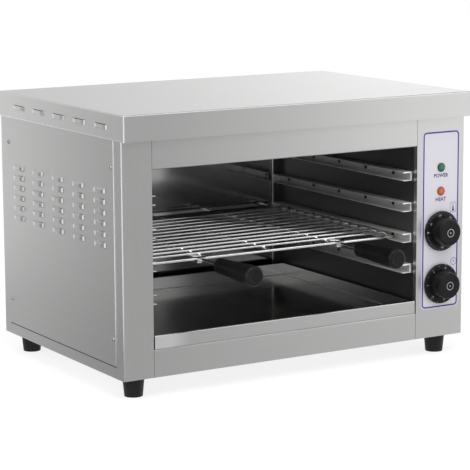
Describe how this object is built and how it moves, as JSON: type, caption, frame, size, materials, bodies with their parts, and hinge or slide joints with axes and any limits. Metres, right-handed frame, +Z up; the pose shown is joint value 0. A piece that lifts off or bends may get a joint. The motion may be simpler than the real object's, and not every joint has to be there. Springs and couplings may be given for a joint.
{
  "type": "cheese melter",
  "caption": "Open-front countertop cheese melter: a wire rack with black handles on channel rails, overhead elements, crumb tray and a control column.",
  "frame": {"origin": "centre of the underside of the whole object's bounding box, on the surface that the feet stand on", "axes": "+X to the right as seen from the front, +Y to the back, +Z up; the open front faces -Y"},
  "size_m": [0.6084, 0.5224, 0.412],
  "materials": {
    "brushed_casing": "brushed",
    "cavity_sheet": "satin, near mirror",
    "rail_steel": "bright",
    "insulation": "matt fibre",
    "bright_wire": "polished",
    "bright_fittings": "polished",
    "grip_plastic": "satin",
    "tray_sheet": "bright",
    "element_sheath": "oxidised",
    "cavity_fittings": "satin",
    "probe_metal": "satin",
    "label_film": "satin, printed",
    "green_lens": "clear tinted",
    "amber_lens": "clear tinted",
    "housing_plastic": "matt",
    "control_ceramic": "matt",
    "shaft_steel": "turned",
    "knob_plastic": "satin, printed scale",
    "badge_metal": "polished",
    "lead_insulation": "matt",
    "gland_plastic": "matt",
    "foot_rubber": "matt",
    "fasteners": "plated"
  },
  "bodies": {
    "cabinet": {"base_pan": "brushed_casing", "left_front_post": "brushed_casing", "left_rear_post": "brushed_casing", "right_rear_post": "brushed_casing", "control_panel": "brushed_casing", "front_sill": "brushed_casing", "lintel": "brushed_casing", "rear_panel": "cavity_sheet", "left_side_cover": "brushed_casing", "right_side_cover": "brushed_casing", "lid": "brushed_casing", "cavity_left_wall": "cavity_sheet", "cavity_right_wall": "cavity_sheet", "cavity_floor": "cavity_sheet", "cavity_ceiling": "cavity_sheet", "insulation_blanket": "insulation", "control_heat_shield": "cavity_sheet", "rail_left_1": "rail_steel", "rail_left_2": "rail_steel", "rail_left_3": "rail_steel", "rail_left_4": "rail_steel", "rail_right_1": "rail_steel", "rail_right_2": "rail_steel", "rail_right_3": "rail_steel", "rail_right_4": "rail_steel", "rail_rivets": "fasteners", "heating_element_front": "element_sheath", "heating_element_middle": "element_sheath", "heating_element_rear": "element_sheath", "element_hangers": "cavity_fittings", "control_label": "label_film", "power_lamp_lens": "green_lens", "heat_lamp_lens": "amber_lens", "lamp_housings": "housing_plastic", "thermostat_body": "control_ceramic", "thermostat_probe": "probe_metal", "probe_clips": "cavity_fittings", "timer_body": "control_ceramic", "control_screws": "fasteners", "terminal_block": "control_ceramic", "wiring": "lead_insulation", "cable_gland": "gland_plastic", "gland_nut": "gland_plastic", "feet": "foot_rubber", "foot_bolts": "fasteners", "casing_screws": "fasteners"},
    "rack": {"wire_rack": "bright_wire", "handle_bracket_left": "bright_fittings", "handle_bracket_right": "bright_fittings", "handle_stud_left": "bright_fittings", "handle_stud_right": "bright_fittings", "handle_grip_left": "grip_plastic", "handle_grip_right": "grip_plastic"},
    "tray": {"crumb_tray": "tray_sheet"},
    "thermostat_dial": {"thermostat_shaft": "shaft_steel", "thermostat_knob": "knob_plastic", "thermostat_badge": "badge_metal"},
    "timer_dial": {"timer_shaft": "shaft_steel", "timer_knob": "knob_plastic", "timer_badge": "badge_metal"}
  },
  "joints": [
    {"name": "rack_slide", "type": "slide", "parent": "cabinet", "child": "rack", "axis": [0, -1, 0], "range_m": [0, 0.28]},
    {"name": "tray_slide", "type": "slide", "parent": "cabinet", "child": "tray", "axis": [0, -1, 0], "range_m": [0, 0.34]},
    {"name": "thermostat_turn", "type": "hinge", "parent": "cabinet", "child": "thermostat_dial", "pos_m": [0.256, -0.17375, 0.197], "axis": [0, 1, 0], "range_deg": [0, 300]},
    {"name": "timer_turn", "type": "hinge", "parent": "cabinet", "child": "timer_dial", "pos_m": [0.256, -0.17375, 0.114], "axis": [0, 1, 0], "range_deg": [0, 330]}
  ]
}
